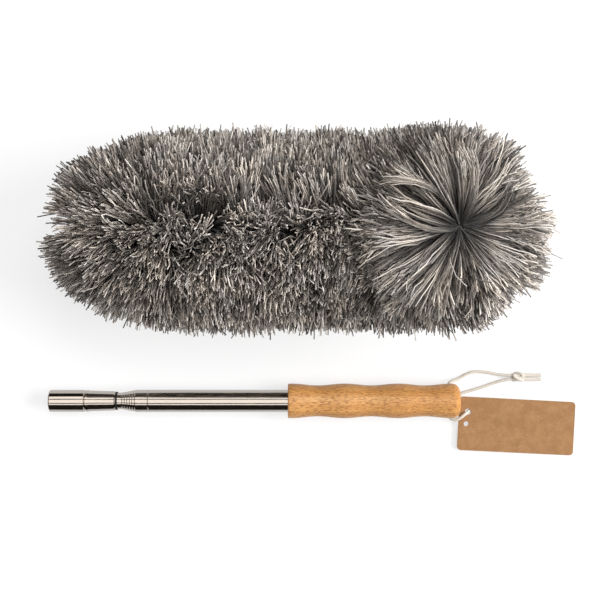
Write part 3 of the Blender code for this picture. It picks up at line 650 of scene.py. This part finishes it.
def wander(base, around, randoms):
    """A smooth field over the backing: a sum of sines that is whole round the core, mostly within 1."""
    field = np.zeros(np.shape(base))
    for _ in range(WANDER_WAVES):
        lengthwise = randoms.uniform(*WANDER_LENGTHWISE)
        rounds = randoms.integers(*WANDER_ROUNDS)
        phase = randoms.uniform(0, math.tau)
        field += np.sin(lengthwise * base + rounds * around + phase)
    return field / math.sqrt(WANDER_WAVES)


def combed_swing(share, around):
    """How far a thread's tip is combed round the core, in radians.

    Upper threads fall to the back or to the front of a parting on top. Both falls are greatest at the
    parting, and die away round the core and at the left end. Near the free end, the lower threads at the
    back are combed to the front.
    """
    near_end = np.clip((share - FRONT_COMB_START_SHARE) / (1 - FRONT_COMB_START_SHARE), 0, 1)
    from_place = (np.degrees(around) - FRONT_COMB_PLACE + 180) % 360 - 180
    comb = -FRONT_COMB * near_end * np.exp(-(from_place / FRONT_COMB_SPREAD) ** 2)
    angle = (np.degrees(around) - PARTING_LOWEST) % 360 + PARTING_LOWEST
    fall = np.exp(-np.abs(angle - PARTING_PLACE) / PARTING_FADE)
    strength = np.clip((share - PARTING_START_SHARE) / (PARTING_FULL_SHARE - PARTING_START_SHARE), 0, 1)
    return np.radians(np.where(angle < PARTING_PLACE, -PARTING_BACK, PARTING_FRONT) * fall * strength + comb)


def pile_clumps(randoms):
    """The clumps round the backing, as rows: base, turn, start radius, lean, curl, swing and reach.

    Their roots follow a golden spiral. Lean, swing and reach wander smoothly from clump to clump.
    """
    count = np.arange(CLUMPS)
    base = (count + 0.5) / CLUMPS * BACKING_LENGTH
    around = (count * GOLDEN_TURN + randoms.normal(0, CLUMP_TURN_SPREAD, CLUMPS)) % math.tau
    share = base / BACKING_LENGTH
    lean = fan_angle(share, around) + LEAN_WANDER * wander(base, around, randoms)
    lean = lean + randoms.normal(0, CLUMP_LEAN_SPREAD, CLUMPS)
    loose_share = np.clip(share / PARTING_FULL_SHARE, CLUMP_LEAST_LOOSE_SHARE, 1)
    swing = SWING_WANDER * wander(base, around, randoms) + randoms.normal(0, CLUMP_SWING_SPREAD, CLUMPS)
    comb_share = COMB_MEAN_SHARE + COMB_WANDER_SHARE * wander(base, around, randoms)
    swing = swing * loose_share + combed_swing(share, around) * comb_share
    reach_share = 1 + REACH_WANDER_SHARE * wander(base, around, randoms)
    reach = PILE_LENGTH * (reach_share + randoms.normal(0, CLUMP_REACH_SPREAD_SHARE, CLUMPS))
    reach = reach * (1 - LEFT_SHORTENING_SHARE * np.clip(1 - share / LEFT_FAN_SHARE, 0, 1))
    return np.stack([base, around, np.full(CLUMPS, BACKING_RADIUS), lean, np.zeros(CLUMPS), swing, reach])


def crown_clumps(randoms):
    """The clumps on the cap of the free end, with the same rows as those round the backing.

    They start flat and curl over the rim. Those that fall over the pile are longer and curl further.
    """
    count = np.arange(CROWN_CLUMPS)
    share = np.sqrt((count + 0.5) / CROWN_CLUMPS)
    around = count * GOLDEN_TURN % math.tau
    base = BACKING_LENGTH + CROWN_LIFT * (1 - share)
    start = CROWN_START_RADIUS + (BACKING_RADIUS - CROWN_START_RADIUS) * share
    lean = CROWN_LEAN + (fan_angle(1, around) - CROWN_LEAN) * share
    over_pile = np.clip(np.sin(around), 0, 1) * randoms.uniform(CROWN_SWEEP_LEAST_SHARE, 1, CROWN_CLUMPS)
    curl = -CROWN_CURL * (1 - share) - CROWN_SWEEP_CURL * over_pile
    crossing = CROWN_RIM_CROSSING + CROWN_CROSSING * (1 - share) ** 2
    swing = randoms.normal(0, crossing, CROWN_CLUMPS)
    reach = PILE_LENGTH * randoms.uniform(CROWN_LEAST_REACH_SHARE, 1.0, CROWN_CLUMPS)
    reach = reach * (1 + CROWN_SWEEP_SHARE * over_pile)
    return np.stack([base, around, start, lean, curl, swing, reach])


def thread_lines(randoms):
    """Centre lines, tones and radii of all threads, as whole arrays: (thread, station, xyz).

    A thread leaves at its clump's lean, bows with its curl and swings round the core with its swing. It
    keeps its place in the clump's disc, which widens. Stray threads do all this more loosely.
    """
    clumps = np.hstack([pile_clumps(randoms), crown_clumps(randoms)])
    own = np.repeat(np.arange(clumps.shape[1]), THREADS_PER_CLUMP)
    base, around, start, lean, curl, swing, reach = clumps[:, own]
    threads = len(own)
    stations = np.linspace(0, 1, THREAD_STATIONS)
    middle = (stations[1:] + stations[:-1]) / 2

    stray = randoms.random(threads) < STRAY_SHARE
    loose = np.where(stray, STRAY_LOOSENESS, 1.0)
    length = reach * (1 + randoms.normal(0, THREAD_REACH_SPREAD_SHARE, threads))
    length = length * np.where(stray, STRAY_REACH_SHARE, 1)
    own_lean = lean + randoms.normal(0, THREAD_LEAN_SPREAD, threads) * loose
    bow = curl + randoms.normal(0, THREAD_BOW_SPREAD, threads) * loose
    angle = own_lean[:, None] + bow[:, None] * middle
    step = length[:, None] / (THREAD_STATIONS - 1)
    zero = np.zeros((threads, 1))
    along = base[:, None] + np.hstack([zero, np.cumsum(np.sin(angle) * step, axis=1)])
    out = start[:, None] + np.hstack([zero, np.cumsum(np.cos(angle) * step, axis=1)])

    disc = np.sqrt(randoms.random(threads))
    disc_turn = randoms.uniform(0, math.tau, threads)
    widening = (CLUMP_TIP_RADIUS - CLUMP_ROOT_RADIUS) * stations[None, :] ** CLUMP_WIDENING_POWER
    width = CLUMP_ROOT_RADIUS + widening
    kink_along = randoms.normal(0, THREAD_KINK, (threads, THREAD_STATIONS)) * stations * loose[:, None]
    kink_round = randoms.normal(0, THREAD_KINK, (threads, THREAD_STATIONS)) * stations * loose[:, None]
    along = along + (disc * np.cos(disc_turn))[:, None] * width + kink_along
    own_swing = swing + randoms.normal(0, THREAD_SWING_SPREAD, threads) * loose
    sideways = (disc * np.sin(disc_turn))[:, None] * width + kink_round
    turn = around[:, None] + own_swing[:, None] * stations ** THREAD_SWING_POWER
    turn = turn + sideways / np.maximum(out, THREAD_TURN_RADIUS)

    lines = bend(np.stack([along, out * np.cos(turn), out * np.sin(turn)], axis=-1))
    drooped = np.clip((out - BACKING_RADIUS) / PILE_LENGTH, 0, None)
    lines[..., 2] -= PILE_DROOP * drooped ** 2
    tone = THREAD_TONE + randoms.normal(0, CLUMP_TONE_SPREAD, clumps.shape[1])[own]
    tone = np.clip(tone + randoms.normal(0, THREAD_TONE_SPREAD, threads), *THREAD_TONE_LIMITS)
    size = THREAD_RADIUS * randoms.uniform(*THREAD_RADIUS_SHARES, threads)
    return lines, tone, size


def thread_mesh(name, lines, tone, size):
    """Tubes along the lines, each with a cut tip. Their sections stand square to the line's chord."""
    threads, stations = lines.shape[:2]
    chord = lines[:, -1] - lines[:, 0]
    chord /= np.linalg.norm(chord, axis=1)[:, None]
    side = np.cross(chord, THREAD_SQUARE_TO)
    side /= np.linalg.norm(side, axis=1)[:, None]
    across = np.cross(chord, side)
    turn = np.arange(THREAD_SIDES) * math.tau / THREAD_SIDES
    ring = side[:, None] * np.cos(turn)[None, :, None] + across[:, None] * np.sin(turn)[None, :, None]
    taper = np.linspace(*THREAD_TAPER_SHARES, stations)
    offsets = ring[:, None] * (size[:, None] * taper[None, :])[:, :, None, None]
    points = (lines[:, :, None] + offsets).reshape(-1, 3)

    per_thread = stations * THREAD_SIDES
    row = np.arange(stations - 1)[:, None] * THREAD_SIDES
    column = np.arange(THREAD_SIDES)[None, :]
    after = (column + 1) % THREAD_SIDES
    quads = np.stack([row + column, row + after, row + THREAD_SIDES + after, row + THREAD_SIDES + column], -1)
    tip = np.arange(THREAD_SIDES) + per_thread - THREAD_SIDES
    pattern = np.concatenate([quads.ravel(), tip])
    starts = np.concatenate([np.arange(quads.size // 4) * 4, [quads.size]])
    corners = (np.arange(threads)[:, None] * per_thread + pattern).ravel()
    first = (np.arange(threads)[:, None] * len(pattern) + starts).ravel()

    mesh = bpy.data.meshes.new(name)
    mesh.vertices.add(len(points))
    mesh.vertices.foreach_set("co", points.astype(np.float32).ravel())
    mesh.loops.add(len(corners))
    mesh.loops.foreach_set("vertex_index", corners.astype(np.int32))
    mesh.polygons.add(len(first))
    mesh.polygons.foreach_set("loop_start", first.astype(np.int32))
    mesh.update(calc_edges=True)
    mesh.shade_smooth()
    root_to_tip = np.repeat(np.linspace(*THREAD_ALONG, stations), THREAD_SIDES)
    uv = np.stack([np.repeat(tone, per_thread), np.tile(root_to_tip, threads)], axis=-1)
    layer = mesh.uv_layers.new(name="threads")
    layer.data.foreach_set("uv", uv[corners].astype(np.float32).ravel())
    return mesh


def make_pile(finish):
    """All threads, shared out along the head among pieces that together stand for the pile's slices.

    No thread goes through the table: those that would reach it lie on it.
    """
    randoms = np.random.default_rng(PILE_SEED)
    lines, tone, size = thread_lines(randoms)
    low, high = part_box("head_socket")
    head_place = np.array((low.x - SOCKET_MOUTH, (low.y + high.y) / 2, (low.z + high.z) / 2))
    lines = lines + head_place
    lift = THREAD_RADIUS + THREAD_LYING_HEIGHT * randoms.random(lines.shape[:2]) ** 2
    lines[..., 2] = np.maximum(lines[..., 2], lift)
    for index, part in enumerate(np.array_split(np.arange(len(lines)), PILE_PIECES)):
        name = f"pile_threads_{index + 1}"
        mesh = thread_mesh(name, lines[part], tone[part], size[part])
        first = index * PILE_SLICES // PILE_PIECES
        last = math.ceil((index + 1) * PILE_SLICES / PILE_PIECES)
        add_piece(name, mesh, finish, "handle", "pile", *[f"pile_{n + 1}" for n in range(first, last)])


# Hang cord and tag

def smooth_route(route, pitch):
    """Points at an even pitch on a smooth curve (Catmull-Rom) through a given route, and its length."""
    knots = np.asarray(route, float)
    padded = np.vstack([2 * knots[0] - knots[1], knots, 2 * knots[-1] - knots[-2]])
    shares = np.linspace(0, 1, CORD_ROUTE_STEPS, endpoint=False)[:, None]
    runs = []
    for a, b, c, d in zip(padded, padded[1:], padded[2:], padded[3:]):
        runs.append(0.5 * (2 * b + (c - a) * shares + (2 * a - 5 * b + 4 * c - d) * shares ** 2
                           + (3 * b - a - 3 * c + d) * shares ** 3))
    fine = np.vstack(runs + [knots[-1:]])
    lengths = np.concatenate([[0], np.cumsum(np.linalg.norm(np.diff(fine, axis=0), axis=1))])
    even = np.linspace(0, lengths[-1], max(2, round(lengths[-1] / pitch)) + 1)
    return np.stack([np.interp(even, lengths, fine[:, k]) for k in range(3)], axis=1), lengths[-1]


def carried_frames(path):
    """Two unit vectors square to a path at each point, carried along it without twist."""
    tangent = np.gradient(path, axis=0)
    tangent /= np.linalg.norm(tangent, axis=1)[:, None]
    side = np.cross(tangent[0], (0, 0, 1.0))
    sides = []
    for t in tangent:
        side = side - t * np.dot(side, t)
        side = side / np.linalg.norm(side)
        sides.append(side)
    sides = np.array(sides)
    return sides, np.cross(tangent, sides)


def rope_mesh(name, path, radius, closed=False):
    """A laid cord along a path: its radius dips in the valleys between strands, which turn as they go.

    Its UV map holds the depth of the valley, from 0 on a strand's crest to 1.
    """
    side, across = carried_frames(path)
    lengths = np.concatenate([[0], np.cumsum(np.linalg.norm(np.diff(path, axis=0), axis=1))])
    turn = np.arange(CORD_SIDES) * math.tau / CORD_SIDES
    laid_turn = turn[None, :] - math.tau * lengths[:, None] / CORD_LAY_PITCH
    valley = 1 - np.abs(np.cos(CORD_STRANDS / 2 * laid_turn)) ** STRAND_ROUND_POWER
    reach = radius * (1 - VALLEY_SHARE * valley)
    points = (path[:, None] + side[:, None] * (reach * np.cos(turn))[..., None]
              + across[:, None] * (reach * np.sin(turn))[..., None])
    if not closed:
        points = np.concatenate([path[None, :1].repeat(CORD_SIDES, 1), points,
                                 path[None, -1:].repeat(CORD_SIDES, 1)])
        valley = np.concatenate([valley[:1], valley, valley[-1:]])
    rows = len(points)
    faces = grid_faces(rows, CORD_SIDES, closed)[:, [0, 3, 2, 1]]
    mesh = bpy.data.meshes.new(name)
    mesh.from_pydata(points.reshape(-1, 3).tolist(), [], faces.tolist())
    layer = mesh.uv_layers.new(name="lay")
    uv = np.stack([valley.ravel(), np.repeat(np.arange(rows) / rows, CORD_SIDES)], axis=-1)
    layer.data.foreach_set("uv", uv[faces.ravel()].astype(np.float32).ravel())
    seal(mesh)
    return mesh


def make_cord(finish):
    """The two runs of the cord, the knot that joins them and the two cut ends beyond it."""
    low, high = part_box("cord_knot")
    middle = np.array((low + high) / 2)
    size = (high.z - low.z) / 2

    turn = np.linspace(0, math.tau, KNOT_RINGS, endpoint=False)
    strand = CORD_RADIUS * KNOT_STRAND_SHARE
    ring = size - strand - KNOT_WAVE + KNOT_WAVE * np.cos(KNOT_LOBES * turn)
    path = np.stack([KNOT_HALF_LENGTH * np.sin(KNOT_LOBES * turn),
                     KNOT_SPREAD_SHARE * ring * np.cos(KNOT_ROUNDS * turn),
                     ring * np.sin(KNOT_ROUNDS * turn)], axis=1) + middle
    knot = add_piece("cotton_knot", rope_mesh("cotton_knot", path, strand, closed=True), finish,
                     "handle", "cotton_cord", "cord_knot")

    ends = []
    for node in ("cord_end_upper", "cord_end_lower"):
        start, end, radius, centre = span(node)
        path = np.linspace((start - CORD_END_OVERLAP, centre.y, centre.z), (end, centre.y, centre.z),
                           CORD_END_RINGS)
        name = node.replace("cord", "cotton")
        ends.append(add_piece(name, rope_mesh(name, path, radius), finish, "handle", "cotton_cord", node))

    for side, route, pieces in (("upper", UPPER_ROUTE, []), ("lower", LOWER_ROUTE, [knot, *ends, "tag"])):
        name = f"cotton_cord_{side}"
        path, length = smooth_route(np.array(route) * MILLIMETRE, CORD_RING_PITCH)
        piece = add_piece(name, rope_mesh(name, path, CORD_RADIUS), finish, "handle", "cotton_cord",
                          f"hang_cord_{side}")


# Stage

def add_sheet(name, corners, finish):
    """A flat sheet of the stage with four corners."""
    mesh = bpy.data.meshes.new(name)
    mesh.from_pydata(corners, [], [(0, 1, 2, 3)])
    mesh.materials.append(finish.material)
    sheet = add_object(name, mesh)
    return sheet


def add_card(finish, name, low, high):
    """A card between two opposite corners, which is only mirrored and takes no light away."""
    low, high = Vector(low), Vector(high)
    second = low.copy()
    across = 1 if low.x == high.x else 0
    second[across] = high[across]
    card = add_sheet(name, [tuple(corner) for corner in (low, second, high, low + high - second)], finish)
    card.visible_camera = False
    card.visible_diffuse = False
    card.visible_shadow = False


def make_table():
    """A white table: part of its white is its own towards the camera, and mirrors see it as an even grey."""
    table = Finish("white_table")
    table.surface(Base_Color=TABLE_COLOUR, Roughness=0.9)
    rays = table.node("ShaderNodeLightPath")
    lit = Wire(table, table.shader.outputs["BSDF"])
    white = table.glow(WHITE, 1.0)
    grey = table.glow(WHITE, MIRRORED_TABLE)
    shown = table.node("ShaderNodeMixShader", None, [rays[0] * WHITE_SHARE, lit, white])[0]
    table.show(table.node("ShaderNodeMixShader", None, [rays[3], shown, grey])[0])
    half = TABLE_HALF
    add_sheet("table", [(-half, -half, 0), (half, -half, 0), (half, half, 0), (-half, half, 0)], table)


def make_cards():
    """Dark cards, and a bright one above, for the steel to mirror."""
    dark = Finish("dark_card")
    dark.surface(Base_Color=DARK_CARD_COLOUR, Roughness=1.0, Specular_IOR_Level=0.0)
    for card in DARK_CARDS:
        add_card(dark, *card)
    bright = Finish("bright_card")
    bright.show(bright.glow(BRIGHT_CARD_COLOUR, BRIGHT_CARD_STRENGTH))
    add_card(bright, *BRIGHT_CARD)


def make_lights():
    """An even white world and broad soft lamps, which all face the origin."""
    world = bpy.data.worlds.new("studio")
    world.use_nodes = True
    background = world.node_tree.nodes["Background"]
    background.inputs["Color"].default_value = (*WHITE, 1.0)
    background.inputs["Strength"].default_value = WORLD_STRENGTH
    bpy.context.scene.world = world
    for name, place, size, power, mirrored in LAMPS:
        light = bpy.data.lights.new(name, "AREA")
        light.shape = "SQUARE"
        light.size = size
        light.energy = power
        lamp = add_object(name, light)
        lamp.location = place
        lamp.visible_glossy = mirrored
        lamp.rotation_euler = (-Vector(place)).to_track_quat("-Z", "Y").to_euler()


def make_camera():
    """A camera straight above the table, at the photograph's distance and angle."""
    lens = bpy.data.cameras.new("camera")
    lens.lens = CAMERA_LENS
    lens.clip_start = CAMERA_CLIP_START
    camera = add_object("camera", lens)
    camera.location = CAMERA_PLACE
    bpy.context.scene.camera = camera
    bpy.context.scene.view_settings.view_transform = "Standard"


def dress_nodes(finishes):
    """Puts a finish on each CAD node whose name begins as said."""
    for node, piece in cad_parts.items():
        for start, finish in finishes.items():
            if node.startswith(start):
                piece.data.materials.clear()
                piece.data.materials.append(finish)


def main():
    make_camera()
    make_table()
    make_cards()
    make_lights()
    steel = steel_finish("polished_steel", STEEL, roughness=0.07)
    brass = plain_finish("brass", BRASS, roughness=0.3, metallic=1.0)
    nylon = plain_finish("nylon", NYLON, roughness=0.6)
    rubber = plain_finish("rubber", RUBBER, roughness=0.85)
    foam = plain_finish("foam", FOAM, roughness=0.9, scale=500, depth=0.0004)
    make_cord(cord_finish())
    make_grip(bamboo_finish())
    make_pole(steel)
    make_tip(steel, rubber)
    make_pile(pile_finish())
    dress_nodes({"tag": card_finish(), "friction_collar": brass, "tube_plug": nylon, "head_socket": nylon,
                 "head_end_cap": nylon, "core_sleeve": foam, "spine_wire": steel, "socket_snap_ring": steel})


main()
